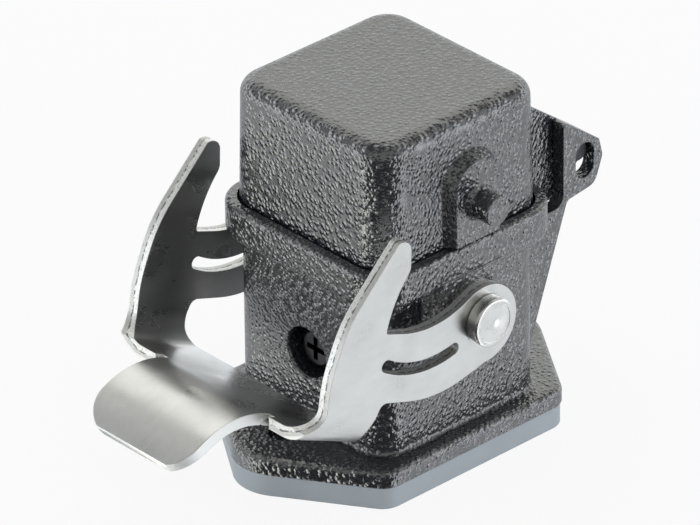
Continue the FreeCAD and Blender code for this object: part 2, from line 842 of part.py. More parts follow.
def make_earth_contact():
    """Earth plate with a tapped hole for the fixing screw and a clamp block for the wire."""
    plate_back = channel_depth - earth_thickness
    plate = box(-earth_half_width, earth_half_width, -channel_depth, -plate_back,
                earth_bottom, earth_top)
    clamp = box(-earth_block_half, earth_block_half, -plate_back - sink,
                -plate_back + earth_block_depth, earth_bottom, earth_block_top)
    wire_y = -plate_back + earth_block_depth / 2
    return joined([plate, clamp]).cut([
        round_y(fixing_shank_radius + press_gap, -channel_depth - past, -plate_back + past,
                0, fixing_height),
        round_z(wire_bore, earth_bottom - past, earth_block_top - earth_bore_roof, 0, wire_y),
        round_y(earth_screw_radius + press_gap, -channel_depth - past, wire_y,
                0, earth_screw_height)])


def make_earth_screw():
    """Slotted grub screw of the earth clamp."""
    front = -channel_depth + earth_screw_inset
    back = -channel_depth + earth_thickness + earth_block_depth / 2 - wire_bore
    slot_half = screw_slot_width / 2
    screw = round_y(earth_screw_radius, front, back, 0, earth_screw_height)
    return screw.cut(box(-earth_screw_radius, earth_screw_radius, front - past,
                         front + screw_slot_depth, earth_screw_height - slot_half,
                         earth_screw_height + slot_half))


def make_fixing_screw():
    """Pan head screw through the front wall into the earth contact."""
    seat = -body_half + fixing_recess_depth
    front = seat - fixing_head_height
    head = round_y(fixing_head_radius, front, seat, 0, fixing_height)
    head = head.makeFillet(fixing_head_edge, edges_at(head, lambda p: near(p.y, front)))
    shank = round_y(fixing_shank_radius, seat - sink, seat + fixing_shank_length, 0, fixing_height)
    screw = joined([head, shank])
    cross = [box(-across, across, front - past, front + cross_depth,
                 fixing_height - up, fixing_height + up)
             for across, up in ((cross_length / 2, cross_width / 2),
                                (cross_width / 2, cross_length / 2))]
    return screw.cut(cross)


# Values that join the sizes above
ear_slope = math.degrees(math.atan2(ear_root_height - hinge_height - hinge_hub_radius,
                                    hinge_y - cover_half_y))
cam_radius = math.hypot(peg_y - pivot_y, peg_height - pivot_height) + peg_radius + cam_gap

nodes = {
    "housing": make_housing(),
    "flange_gasket": make_flange_gasket(),
    "collar_seal": make_collar_seal(),
    "cover": make_cover(),
    "hinge_pin": make_hinge_pin(),
    "locking_lever": make_locking_lever(),
    "lever_rivet_right": make_rivet(),
    "lever_rivet_left": mirror_x(make_rivet()),
    "pivot_washer_right": make_washer(),
    "pivot_washer_left": mirror_x(make_washer()),
    "insert_body": make_insert_body(),
    "earth_contact": make_earth_contact(),
    "earth_clamp_screw": make_earth_screw(),
    "insert_fixing_screw": make_fixing_screw(),
}
for number, (sign, y) in enumerate(contact_places(), start=1):
    nodes["socket_contact_%d" % number] = make_contact(sign, y)
    nodes["terminal_screw_%d" % number] = make_terminal_screw(sign, y)

os.makedirs("parts", exist_ok=True)
for name, shape in nodes.items():
    solid = shape.Solids[0] if len(shape.Solids) == 1 else shape
    solid.exportStep("parts/%s.step" % name)
    size = solid.BoundBox
    print("%-20s %d solid, valid %s, %.1f x %.1f x %.1f, volume %.1f" % (
        name, len(solid.Solids), solid.isValid(), size.XLength, size.YLength, size.ZLength,
        solid.Volume))
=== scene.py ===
import math

import bmesh
import bpy
from bpy.props import FloatProperty, FloatVectorProperty, PointerProperty
from bpy.types import Operator, Panel, PropertyGroup
from mathutils import Matrix, Vector


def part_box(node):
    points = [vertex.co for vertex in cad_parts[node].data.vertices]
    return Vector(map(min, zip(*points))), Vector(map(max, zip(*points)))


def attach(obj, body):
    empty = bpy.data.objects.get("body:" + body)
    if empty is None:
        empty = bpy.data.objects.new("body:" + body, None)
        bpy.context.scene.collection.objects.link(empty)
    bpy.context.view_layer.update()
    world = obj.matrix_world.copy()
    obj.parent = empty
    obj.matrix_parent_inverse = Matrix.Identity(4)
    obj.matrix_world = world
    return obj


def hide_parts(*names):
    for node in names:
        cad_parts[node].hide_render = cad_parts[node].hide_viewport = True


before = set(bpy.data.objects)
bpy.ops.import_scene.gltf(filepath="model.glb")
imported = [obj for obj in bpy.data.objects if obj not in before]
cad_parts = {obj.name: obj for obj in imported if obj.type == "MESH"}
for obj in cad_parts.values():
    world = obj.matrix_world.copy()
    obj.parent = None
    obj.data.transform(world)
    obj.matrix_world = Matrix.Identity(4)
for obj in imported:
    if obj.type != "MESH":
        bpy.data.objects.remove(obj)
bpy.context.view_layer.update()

bl_info = {
    "name": "Rectangular Connector Housing",
    "version": (1, 0, 0),
    "blender": (4, 5, 0),
    "location": "View3D > Sidebar > Connector",
    "description": "Finishes of a bulkhead connector housing with a cover and a locking lever",
    "category": "Object",
}

MM = 0.001
SIDES = ("right", "left")
BASE = "base"
CONTACTS = range(1, 5)
# Vertex attribute that runs from 0 at the sheet's inner skin to 1 at its outer skin
CUT_DEPTH = "cut_depth"
# Range that nearly all of a noise texture's values lie in
NOISE_RANGE = (0.3, 0.7)
# Width of one ring of Blender's ring texture at a scale of one
RING_STEP = math.pi / 10
# Radius of the circle that a turned profile is swept round, and the width merged at its pole
LATHE_RADIUS = 1.0 * MM
POLE = 0.004 * MM
# Angle under which two faces count as one flat face
FLAT = math.radians(0.5)
# Angles, in degrees, past which an edge of the piece is drawn sharp
LEVER_CREASE, RIVET_CREASE, SEAL_CREASE = 35, 40, 50


# Shader helpers

class Shader:
    """A material's or the world's node tree, with short calls that add and join nodes."""

    def __init__(self, name, owner=None, surface="Principled BSDF"):
        self.material = owner or bpy.data.materials.new(name)
        self.material.use_nodes = True
        self.tree = self.material.node_tree
        self.surface = self.tree.nodes[surface]
        self.places = self.add("ShaderNodeTexCoord")
        self.coordinates = self.places.outputs["Object"]

    def add(self, kind, inputs=None, **settings):
        """A new node with its settings, and its inputs set or joined by name or number."""
        made = self.tree.nodes.new(kind)
        for key, value in settings.items():
            setattr(made, key, value)
        for key, value in (inputs or {}).items():
            self.put(made.inputs[key], value)
        return made

    def put(self, socket, value):
        """Joins a socket to another one, or sets its value."""
        if isinstance(value, bpy.types.NodeSocket):
            self.tree.links.new(value, socket)
        else:
            socket.default_value = value

    def noise(self, size, detail=2.0, roughness=0.5, vector=None):
        """Noise whose features are about this size, in metres."""
        return self.add("ShaderNodeTexNoise", {
            "Vector": vector or self.coordinates, "Scale": 1.0 / size,
            "Detail": detail, "Roughness": roughness}).outputs["Fac"]

    def cells(self, size):
        """Voronoi cells of about this size, in metres."""
        return self.add("ShaderNodeTexVoronoi", {
            "Vector": self.coordinates, "Scale": 1.0 / size})

    def spread(self, value, low, high, out_low=0.0, out_high=1.0):
        """Stretches a value from one range to another, held inside it."""
        return self.add("ShaderNodeMapRange", {
            "Value": value, "From Min": low, "From Max": high,
            "To Min": out_low, "To Max": out_high}).outputs["Result"]

    def math(self, operation, first, second=0.0):
        """One sum on one or two values."""
        return self.add("ShaderNodeMath", {0: first, 1: second}, operation=operation).outputs[0]

    def varied(self, noise, middle, below, above):
        """A value that a noise moves from below a middle to above it."""
        return self.spread(noise, *NOISE_RANGE, middle - below, middle + above)

    def distance(self, value, centre):
        """How far a value is from a centre, on either side."""
        return self.math("ABSOLUTE", self.math("SUBTRACT", value, centre))

    def ramp(self, value, stops):
        """Follows a value through (position, brightness) stops, in smooth steps."""
        made = self.add("ShaderNodeValToRGB", {"Fac": value})
        elements = made.color_ramp.elements
        made.color_ramp.interpolation = "EASE"
        while len(elements) < len(stops):
            elements.new(0.5)
        for element, (place, level) in zip(elements, stops):
            element.position = place
            element.color = (level, level, level, 1.0)
        return made.outputs["Color"]

    def across(self, vector, direction):
        """How far a vector points along a direction, from 0 away to 1 along it."""
        unit = self.add("ShaderNodeVectorMath", {0: vector}, operation="NORMALIZE").outputs[0]
        along = self.add("ShaderNodeVectorMath", {0: unit, 1: direction}, operation="DOT_PRODUCT")
        return self.spread(along.outputs["Value"], -1.0, 1.0)

    def levelled(self, vector):
        """A vector without its upward part."""
        return self.add("ShaderNodeVectorMath", {0: vector, 1: (1.0, 1.0, 0.0)},
                        operation="MULTIPLY").outputs[0]

    def height_of(self, vector):
        """The upward part of a vector."""
        return self.add("ShaderNodeSeparateXYZ", {"Vector": vector}).outputs["Z"]

    def blend(self, fac, first, second):
        """Mixes two colours."""
        made = self.add("ShaderNodeMix", data_type="RGBA")
        self.put(made.inputs[0], fac)
        self.put(made.inputs[6], first)
        self.put(made.inputs[7], second)
        return made.outputs[2]

    def stretched(self, scale):
        """Object coordinates scaled by three factors, for marks that run one way."""
        return self.add("ShaderNodeMapping", {
            "Vector": self.coordinates, "Scale": scale}).outputs["Vector"]

    def rings(self, centre, pitch):
        """Fine rings about an axis along x through a centre."""
        moved = self.add("ShaderNodeMapping", {
            "Vector": self.coordinates, "Location": tuple(-value for value in centre)})
        return self.add("ShaderNodeTexWave", {
            "Vector": moved.outputs["Vector"], "Scale": RING_STEP / pitch, "Distortion": 1.5,
            "Detail": 1.0}, wave_type="RINGS", rings_direction="X").outputs["Fac"]

    def bump(self, height, depth, strength=1.0, below=None):
        """Relief of this depth in metres, over another relief where one is given."""
        made = self.add("ShaderNodeBump", {
            "Height": height, "Distance": depth, "Strength": strength})
        if below is not None:
            self.put(made.inputs["Normal"], below)
        return made.outputs["Normal"]

    def soft_edges(self, radius):
        """Normals that round every sharp edge by this radius."""
        return self.add("ShaderNodeBevel", {"Radius": radius}, samples=4).outputs["Normal"]

    def finish(self, **inputs):
        """Sets or joins the inputs of the surface shader, named with underscores."""
        for key, value in inputs.items():
            self.put(self.surface.inputs[key.replace("_", " ")], value)
        return self.material


def colour(values):
    """A colour with its alpha, from three values."""
    return (*values, 1.0)


def shade(values, share):
    """A lighter or darker share of a colour, with its alpha."""
    return colour(min(1.0, share * value) for value in values)


def coat_on(obj, material):
    """Gives an object this one material in each of its slots."""
    if not obj.material_slots:
        obj.data.materials.append(material)
    for material_slot in obj.material_slots:
        material_slot.material = material


# Materials

# Where the dome of a bump and the painted highlight on its top start and end, from its top outwards,
# in bump widths
DOME = (0.08, 0.62)
GLINT_SPOT = (0.08, 0.36)
# Share of a bump's height that a finer noise adds
WOBBLE = 0.8
# Width of the slow shade changes in the coat
PATCH = 9.0 * MM


def textured_coat(settings):
    """Black textured powder coat: glossy round bumps, many with a painted highlight, a pale spot, on
    top.
    """
    shader = Shader("textured_powder_coat")
    grain = settings.grain
    wobble = shader.noise(grain * 0.9, 2.0, 0.6)
    cell = shader.cells(grain)
    off_top = cell.outputs["Distance"]
    dome = shader.spread(off_top, *DOME, 1.0, 0.0)
    height = shader.math("ADD", shader.math("MULTIPLY", wobble, WOBBLE), dome)
    chosen = shader.add("ShaderNodeSeparateColor", {"Color": cell.outputs["Color"]})
    # Painted highlight: a pale spot on the top of many bumps, standing in for the glint each glossy
    # bump catches
    painted_glint = shader.math("MULTIPLY", shader.spread(off_top, *GLINT_SPOT, 1.0, 0.0),
                        shader.spread(chosen.outputs[0], 0.2, 1.0))
    painted_glint = shader.math("MULTIPLY", painted_glint, settings.glint_share)
    body = shader.blend(shader.noise(PATCH), shade(settings.colour, 0.8),
                        shade(settings.colour, 1.25))
    tint = shader.blend(painted_glint, body, colour(settings.glint_colour))
    rough = shader.varied(wobble, settings.roughness, 0.05, 0.07)
    relief = shader.bump(height, settings.grain_depth, 1.0, shader.soft_edges(settings.edge))
    return shader.finish(Base_Color=tint, Roughness=rough, Normal=relief, IOR=settings.gloss)


def stainless_sheet(settings):
    """Stamped stainless sheet: fine rolling grain, faint handling marks."""
    shader = Shader("stainless_sheet")
    grain = shader.noise(0.12 * MM, 2.0, 0.5, shader.stretched((1.0, 0.12, 1.0)))
    haze = shader.noise(5.0 * MM, 3.0)
    marks = shader.noise(1.1 * MM, 4.0, 0.7, shader.stretched((1.0, 0.35, 1.0)))
    streaks = shader.noise(1.3 * MM, 3.0, 0.6, shader.stretched((0.06, 1.0, 1.0)))
    tint = shader.blend(shader.spread(marks, 0.35, 0.6), shade(settings.colour, 0.95),
                        colour(settings.colour))
    rough = shader.math("ADD", shader.varied(haze, settings.roughness, 0.05, 0.06),
                        shader.math("MULTIPLY", grain, 0.05))
    drawn = shader.bump(streaks, 3 * settings.grain_depth, 0.7, shader.soft_edges(settings.edge))
    relief = shader.bump(grain, settings.grain_depth, 0.5, drawn)
    return shader.finish(Base_Color=tint, Roughness=rough, Normal=relief, Metallic=1.0)


# Depth in the cut edge at which the shear turns into a tear, half the width of that change, how
# far from the edge's middle the painted highlight along its rims starts, and the colour of the dots
# in the tear
TEAR_LINE = 0.52
TEAR_HALF = 0.05
RIM_HIGHLIGHT = (0.42, 0.48)
TEAR_COLOUR = (0.13, 0.13, 0.13)


def sheared_edge(settings):
    """Cut edge of the sheet: granular, with dark dots where the shear turned into a tear, and a
    painted highlight along both rims.
    """
    shader = Shader("sheared_edge")
    pits = shader.noise(0.22 * MM, 4.0, 0.7)
    through = shader.add("ShaderNodeAttribute", attribute_name=CUT_DEPTH).outputs["Fac"]
    wander = shader.varied(shader.noise(1.5 * MM), 0.0, 0.06, 0.06)
    depth = shader.math("ADD", through, wander)
    sheared = shade(settings.colour, 1.3)
    smooth = shader.blend(shader.spread(depth, TEAR_LINE - TEAR_HALF, TEAR_LINE + TEAR_HALF),
                          sheared, shade(settings.colour, 0.95))
    tint = shader.blend(shader.spread(pits, 0.34, 0.48), shade(settings.colour, 0.66), smooth)
    # Painted highlight: both rims of the cut edge take the paler sheared colour
    tint = shader.blend(shader.spread(shader.distance(through, 0.5), *RIM_HIGHLIGHT), tint, sheared)
    dots = shader.spread(shader.noise(0.5 * MM, 2.0, 0.6), 0.44, 0.53)
    off_line = shader.distance(depth, TEAR_LINE)
    line = shader.math("MULTIPLY", shader.spread(off_line, 0.03, 0.1, 1.0, 0.0), dots)
    tint = shader.blend(line, tint, colour(TEAR_COLOUR))
    relief = shader.bump(pits, 3 * settings.grain_depth, 0.7, shader.soft_edges(settings.edge))
    return shader.finish(Base_Color=tint, Roughness=0.5, Normal=relief, Metallic=0.9)


def turned_steel(name, tint, roughness, depth=0.006 * MM, centre=None):
    """Turned or plated metal with a faint even grain, and lathe rings about a centre."""
    shader = Shader(name)
    grain = shader.noise(0.15 * MM, 3.0, 0.6)
    if centre is not None:
        rings = shader.rings(centre, 0.16 * MM)
        grain = shader.math("ADD", shader.math("MULTIPLY", grain, 0.6),
                            shader.math("MULTIPLY", rings, 0.4))
    haze = shader.noise(1.6 * MM, 2.0)
    rough = shader.varied(haze, roughness, 0.05, 0.08)
    body = shader.blend(shader.spread(grain, 0.3, 0.6), shade(tint, 0.85), colour(tint))
    relief = shader.bump(grain, depth, 0.5, shader.soft_edges(0.08 * MM))
    return shader.finish(Base_Color=body, Roughness=rough, Normal=relief, Metallic=1.0)


def soft_rubber(name, tint, grain, depth, roughness):
    """Moulded rubber: matt, with a fine even grain and slow shade changes."""
    shader = Shader(name)
    fine = shader.noise(grain, 3.0, 0.6)
    slow = shader.noise(7.0 * MM, 2.0)
    body = shader.blend(slow, shade(tint, 0.9), shade(tint, 1.08))
    rough = shader.varied(fine, roughness, 0.06, 0.06)
    relief = shader.bump(fine, depth, 0.6, shader.soft_edges(0.25 * MM))
    return shader.finish(Base_Color=body, Roughness=rough, Normal=relief)


def moulded_plastic(name, tint, roughness=0.49):
    """Moulded insulating plastic with a light erosion texture."""
    shader = Shader(name)
    fine = shader.noise(0.25 * MM, 3.0, 0.6)
    slow = shader.noise(6.0 * MM, 2.0)
    body = shader.blend(slow, shade(tint, 0.94), colour(tint))
    rough = shader.varied(fine, roughness, 0.07, 0.07)
    relief = shader.bump(fine, 0.02 * MM, 0.6, shader.soft_edges(0.15 * MM))
    return shader.finish(Base_Color=body, Roughness=rough, Normal=relief)


# Mesh helpers

def merged_copy(node, name, weld):
    """A copy of a frame node's mesh as an object of its own, its loose triangles joined."""
    made = bpy.data.objects.new(name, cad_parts[node].data.copy())
    bpy.context.scene.collection.objects.link(made)
    mesh = bmesh.new()
    mesh.from_mesh(made.data)
    bmesh.ops.remove_doubles(mesh, verts=mesh.verts, dist=weld)
    bmesh.ops.dissolve_limit(mesh, angle_limit=FLAT, verts=mesh.verts,
                             edges=mesh.edges, use_dissolve_boundaries=False)
    mesh.to_mesh(made.data)
    mesh.free()
    made.data.materials.clear()
    return made


def smooth_regions(mesh, crease):
    """Groups of faces that join across edges flatter than the crease angle."""
    waiting = set(mesh.faces)
    regions = []
    while waiting:
        region = set()
        edge_of_growth = [waiting.pop()]
        while edge_of_growth:
            face = edge_of_growth.pop()
            region.add(face)
            for edge in face.edges:
                if len(edge.link_faces) == 2 and edge.calc_face_angle(0.0) < crease:
                    for other in edge.link_faces:
                        if other in waiting:
                            waiting.discard(other)
                            edge_of_growth.append(other)
        regions.append(region)
    return regions


def shade_by_angle(obj, degrees):
    """Smooth shading that keeps edges sharper than this angle."""
    obj.data.shade_smooth()
    obj.data.set_sharp_from_angle(angle=math.radians(degrees))


# Geometry Nodes helpers

class Form:
    """A Geometry Nodes tree with named inputs, put on an object and baked into its mesh."""

    def __init__(self, name, sizes):
        self.tree = bpy.data.node_groups.new(name, "GeometryNodeTree")
        sockets = self.tree.interface
        sockets.new_socket("Geometry", in_out="INPUT", socket_type="NodeSocketGeometry")
        sockets.new_socket("Geometry", in_out="OUTPUT", socket_type="NodeSocketGeometry")
        self.sizes = sizes
        self.identifiers = {}
        for size, value in sizes.items():
            kind = "NodeSocketInt" if isinstance(value, int) else "NodeSocketFloat"
            made = sockets.new_socket(size, in_out="INPUT", socket_type=kind)
            self.identifiers[size] = made.identifier
        self.given = self.tree.nodes.new("NodeGroupInput").outputs
        self.result = self.tree.nodes.new("NodeGroupOutput").inputs[0]

    def add(self, kind, inputs=None, **settings):
        """The first output of a new node, with its inputs set or joined by name or number."""
        made = self.tree.nodes.new(kind)
        for key, value in settings.items():
            setattr(made, key, value)
        for key, value in (inputs or {}).items():
            if isinstance(value, bpy.types.NodeSocket):
                self.tree.links.new(value, made.inputs[key])
            else:
                made.inputs[key].default_value = value
        return made.outputs[0]

    def place(self, x=0.0, y=0.0, z=0.0):
        """A vector from three values or sockets."""
        return self.add("ShaderNodeCombineXYZ", {0: x, 1: y, 2: z})

    def bake(self, name, outline, closed, geometry, material):
        """Runs the tree on an outline of flat points, and returns the plain object."""
        whole = self.add("GeometryNodeRealizeInstances", {0: geometry})
        whole = self.add("GeometryNodeSetMaterial", {"Geometry": whole, "Material": material})
        self.tree.links.new(whole, self.result)
        base = bpy.data.meshes.new(name + "_outline")
        count = len(outline)
        edges = [(index, (index + 1) % count) for index in range(count if closed else count - 1)]
        base.from_pydata([(u, v, 0.0) for u, v in outline], edges, [])
        made = bpy.data.objects.new(name, base)
        bpy.context.scene.collection.objects.link(made)
        modifier = made.modifiers.new(name, "NODES")
        modifier.node_group = self.tree
        for size, value in self.sizes.items():
            modifier[self.identifiers[size]] = value
        graph = bpy.context.evaluated_depsgraph_get()
        baked = bpy.data.meshes.new_from_object(made.evaluated_get(graph))
        made.modifiers.clear()
        made.data = baked
        mesh = bmesh.new()
        mesh.from_mesh(baked)
        bmesh.ops.remove_doubles(mesh, verts=mesh.verts, dist=POLE)
        bmesh.ops.recalc_face_normals(mesh, faces=mesh.faces)
        mesh.to_mesh(baked)
        mesh.free()
        return made


def quarter_round(u, v, radius, steps, start):
    """Points of a quarter circle about (u, v), from a start angle in degrees, turning left."""
    angles = [math.radians(start + 90 * step / steps) for step in range(steps + 1)]
    return [(u + radius * math.cos(angle), v + radius * math.sin(angle)) for angle in angles]


# Settings

class CoatSettings(PropertyGroup):
    """Powder coat of the housing and the cover."""

    colour: FloatVectorProperty(name="Coat colour", description="Colour between the specks",
                                default=(0.015, 0.017, 0.022), subtype="COLOR", size=3)
    # The specks are painted highlights on the tops of the coat's bumps
    glint_colour: FloatVectorProperty(name="Speck colour", description="Colour of the bright specks",
                                      default=(0.62, 0.65, 0.68), subtype="COLOR", size=3)
    glint_share: FloatProperty(name="Speck share", description="How strongly the specks show",
                               default=0.21, min=0.0, max=1.0, subtype="FACTOR")
    grain: FloatProperty(name="Grain", description="Width of one bump of the hammered grain",
                         default=0.6 * MM, unit="LENGTH")
    grain_depth: FloatProperty(name="Grain depth", description="Height of the hammered grain",
                               default=0.11 * MM, unit="LENGTH")
    roughness: FloatProperty(name="Roughness", description="Gloss of the coat, lower is glossier",
                             default=0.2, min=0.0, max=1.0, subtype="FACTOR")
    gloss: FloatProperty(name="Gloss index", description="Refractive index of the hard clear top",
                         default=2.3, min=1.0, max=3.0)
    edge: FloatProperty(name="Edge radius", description="Round that the coat leaves on sharp edges",
                        default=0.22 * MM, unit="LENGTH")


class SteelSettings(PropertyGroup):
    """Stainless steel of the locking lever."""

    colour: FloatVectorProperty(name="Steel colour", description="Colour of the sheet",
                                default=(0.64, 0.64, 0.63), subtype="COLOR", size=3)
    roughness: FloatProperty(name="Roughness", description="Gloss of the sheet",
                             default=0.28, min=0.0, max=1.0, subtype="FACTOR")
    grain_depth: FloatProperty(name="Grain depth", description="Height of the rolling grain",
                               default=0.004 * MM, unit="LENGTH")
    edge: FloatProperty(name="Edge radius", description="Round of the deburred edges",
                        default=0.16 * MM, unit="LENGTH")
    weld: FloatProperty(name="Weld distance", description="Steps lower than this are closed",
                        default=0.035 * MM, unit="LENGTH")
    crease: FloatProperty(name="Crease", description="Angle past which an edge counts as cut",
                          default=math.radians(40), subtype="ANGLE")


class FastenerSettings(PropertyGroup):
    """Rivets, washers, screws and the hinge pin."""

    rivet_colour: FloatVectorProperty(name="Rivet colour", description="Colour of the rivets",
                                      default=(0.75, 0.75, 0.73), subtype="COLOR", size=3)
    rivet_height: FloatProperty(name="Rivet head height", description="Height of a rivet's head",
                                default=1.7 * MM, unit="LENGTH")
    rivet_shank: FloatProperty(name="Rivet shank radius", description="Radius of a rivet's shank",
                               default=2.2 * MM, unit="LENGTH")
    rivet_edge: FloatProperty(name="Rivet edge radius", description="Round of the rivet head's rim",
                              default=0.35 * MM, unit="LENGTH")
    screw_colour: FloatVectorProperty(name="Screw colour", description="Colour of plated screws",
                                      default=(0.66, 0.66, 0.64), subtype="COLOR", size=3)
    # Painted shade: the fixing screw is coloured near black to stand in for the shade in its deep
    # recess
    recess_shade_colour: FloatVectorProperty(
        name="Fixing screw colour", description="Shade-darkened screw in the front recess",
        default=(0.05, 0.05, 0.055), subtype="COLOR", size=3)
    pin_colour: FloatVectorProperty(name="Pin colour", description="Colour of the hinge pin",
                                    default=(0.07, 0.07, 0.075), subtype="COLOR", size=3)


class InsertSettings(PropertyGroup):
    """Contact insert, its contacts and the seals."""

    plastic_colour: FloatVectorProperty(name="Insert colour", description="Colour of the insert",
                                        default=(0.52, 0.53, 0.53), subtype="COLOR", size=3)
    contact_colour: FloatVectorProperty(name="Contact colour", description="Silver plated contacts",
                                        default=(0.84, 0.81, 0.74), subtype="COLOR", size=3)
    gasket_colour: FloatVectorProperty(name="Gasket colour", description="Flange gasket",
                                       default=(0.475, 0.535, 0.585), subtype="COLOR", size=3)
    seal_width: FloatProperty(name="Seal width", description="Width of the seal in the collar",
                              default=2.35 * MM, unit="LENGTH")
    seal_corner: FloatProperty(name="Seal corner radius", description="Outer corners of the seal",
                               default=4.1 * MM, unit="LENGTH")
    seal_colour: FloatVectorProperty(name="Seal colour", description="Seal in the collar",
                                     default=(0.045, 0.045, 0.045), subtype="COLOR", size=3)


class StageSettings(PropertyGroup):
    """Camera, lamps and floor."""

    azimuth: FloatProperty(name="Azimuth", description="Camera's turn round the object",
                           default=math.radians(47.25), subtype="ANGLE")
    elevation: FloatProperty(name="Elevation", description="Camera's height above the horizon",
                             default=math.radians(30.35), subtype="ANGLE")
    roll: FloatProperty(name="Roll", description="Camera's lean about its own axis",
                        default=math.radians(-0.514), subtype="ANGLE")
    distance: FloatProperty(name="Distance", description="From the camera to the aimed point",
                            default=1.0, unit="LENGTH")
    aim_height: FloatProperty(name="Aim height", description="Height of the aimed point",
                              default=21.49 * MM, unit="LENGTH")
    lens: FloatProperty(name="Lens", description="Focal length in millimetres on a 36 mm sensor",
                        default=435.8)
    shift: FloatProperty(name="Shift", description="Sideways shift of the frame, in sensor widths",
                         default=-0.0524)
    room_light: FloatProperty(name="Room light", description="Even light from all round",
                              default=0.62)
    key_power: FloatProperty(name="Key lamp", description="Power of the soft lamp from the left",
                             default=0.65, unit="POWER")
    fill_power: FloatProperty(name="Fill lamp", description="Power of the soft lamp from the right",
                              default=0.85, unit="POWER")
    top_power: FloatProperty(name="Top lamp", description="Power of the soft lamp from above",
                             default=0.9, unit="POWER")
    floor_size: FloatProperty(name="Floor size", description="Length of the floor's sides",
                              default=6.0, unit="LENGTH")


# Pieces that Geometry Nodes make

def turned_rivets(settings, material, low, high):
    """Both rivets: one turned profile swept round, then set on each end of the pivot's axis."""
    radius = (high.z - low.z) / 2
    shank, edge = settings.rivet_shank, settings.rivet_edge
    base = high.x - settings.rivet_height
    chamfer, rim, dish, dimple = 0.15 * MM, 0.3 * MM, 0.05 * MM, 0.4 * MM
    face = high.x - dish
    profile = [(0.0, low.x), (shank - chamfer, low.x), (shank, low.x + chamfer), (shank, base),
               (radius - chamfer, base), (radius, base + chamfer)]
    profile += quarter_round(radius - edge, high.x - edge, edge, steps=6, start=0)
    profile += [(radius - edge - rim, high.x), (radius - edge - rim - dish, face),
                (2 * dimple, face), (dimple, face - dish), (dimple / 2, face - 2 * dish),
                (0.0, face - 2 * dish)]
    form = Form("turned_rivets", {
        "Segments": 72, "Pivot Along": (low.y + high.y) / 2, "Pivot Height": (low.z + high.z) / 2})
    ring = form.add("GeometryNodeCurvePrimitiveCircle", {
        "Resolution": form.given["Segments"], "Radius": LATHE_RADIUS})
    turned = form.add("GeometryNodeCurveToMesh", {
        "Curve": ring, "Profile Curve": form.add("GeometryNodeMeshToCurve", {
            0: form.given["Geometry"]})})
    right = form.add("GeometryNodeTransform", {
        "Geometry": turned, "Rotation": (0.0, math.radians(90), 0.0)})
    ends = form.add("GeometryNodeMeshLine", {
        "Count": len(SIDES), "Offset": (0.0, 0.0, 0.0), "Start Location": form.place(
            0.0, form.given["Pivot Along"], form.given["Pivot Height"])})
    turn = form.add("ShaderNodeMath", {0: form.add("GeometryNodeInputIndex"), 1: math.pi},
                    operation="MULTIPLY")
    both = form.add("GeometryNodeInstanceOnPoints", {
        "Points": ends, "Instance": right, "Rotation": form.place(0.0, 0.0, turn)})
    outline = [(reach - LATHE_RADIUS, -along) for reach, along in profile]
    return form.bake("turned_rivets", outline, False, both, material)


def lip_seal(settings, material):
    """Seal in the collar: a profile with two lips, drawn round a rounded square path."""
    low, high = (Vector(corner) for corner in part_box("collar_seal"))
    half, tall = settings.seal_width / 2, high.z - low.z
    lip, groove = 0.3 * MM, 0.35 * MM
    profile = [(-half, 0.0), (half, 0.0), (half, tall - lip)]
    profile += quarter_round(half - lip, tall - lip, lip, steps=4, start=0)[1:]
    profile += [(half - 2 * lip, tall - groove), (2 * lip - half, tall - groove)]
    profile += quarter_round(lip - half, tall - lip, lip, steps=4, start=90)
    form = Form("lip_seal", {
        "Width": high.x - low.x - 2 * half, "Depth": high.y - low.y - 2 * half,
        "Corner Radius": settings.seal_corner - half, "Corner Steps": 8, "Floor": low.z})
    path = form.add("GeometryNodeCurvePrimitiveQuadrilateral", {
        "Width": form.given["Width"], "Height": form.given["Depth"]})
    path = form.add("GeometryNodeFilletCurve", {
        "Curve": path, "Count": form.given["Corner Steps"],
        "Radius": form.given["Corner Radius"]}, mode="POLY")
    swept = form.add("GeometryNodeCurveToMesh", {
        "Curve": path, "Profile Curve": form.add("GeometryNodeMeshToCurve", {
            0: form.given["Geometry"]})})
    seated = form.add("GeometryNodeTransform", {
        "Geometry": swept, "Translation": form.place(
            (low.x + high.x) / 2, (low.y + high.y) / 2, form.given["Floor"])})
    outline = [(across, -up) for across, up in profile]
    return form.bake("lip_seal", outline, True, seated, material)


# Operators

class CONNECTOR_OT_castings(Operator):
    """Coat the die cast housing and cover"""

    bl_idname = "connector.castings"
    bl_label = "Coated Castings"

    def execute(self, context):
        material = textured_coat(context.scene.connector_coat)
        for node in ("housing", "cover"):
            coat_on(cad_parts[node], material)
        return {"FINISHED"}


class CONNECTOR_OT_gasket(Operator):
    """Finish the flange gasket and the seal in the collar"""

    bl_idname = "connector.gasket"
    bl_label = "Gasket And Seal"

    def execute(self, context):
        settings = context.scene.connector_insert
        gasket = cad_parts["flange_gasket"]
        coat_on(gasket, soft_rubber("grey_gasket_rubber", settings.gasket_colour,
                                    grain=0.3 * MM, depth=0.02 * MM, roughness=0.5))
        seal = lip_seal(settings, soft_rubber("black_seal_rubber", settings.seal_colour,
                                              grain=0.2 * MM, depth=0.01 * MM, roughness=0.6))
        shade_by_angle(seal, SEAL_CREASE)
        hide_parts("collar_seal")
        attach(seal, BASE)
        return {"FINISHED"}


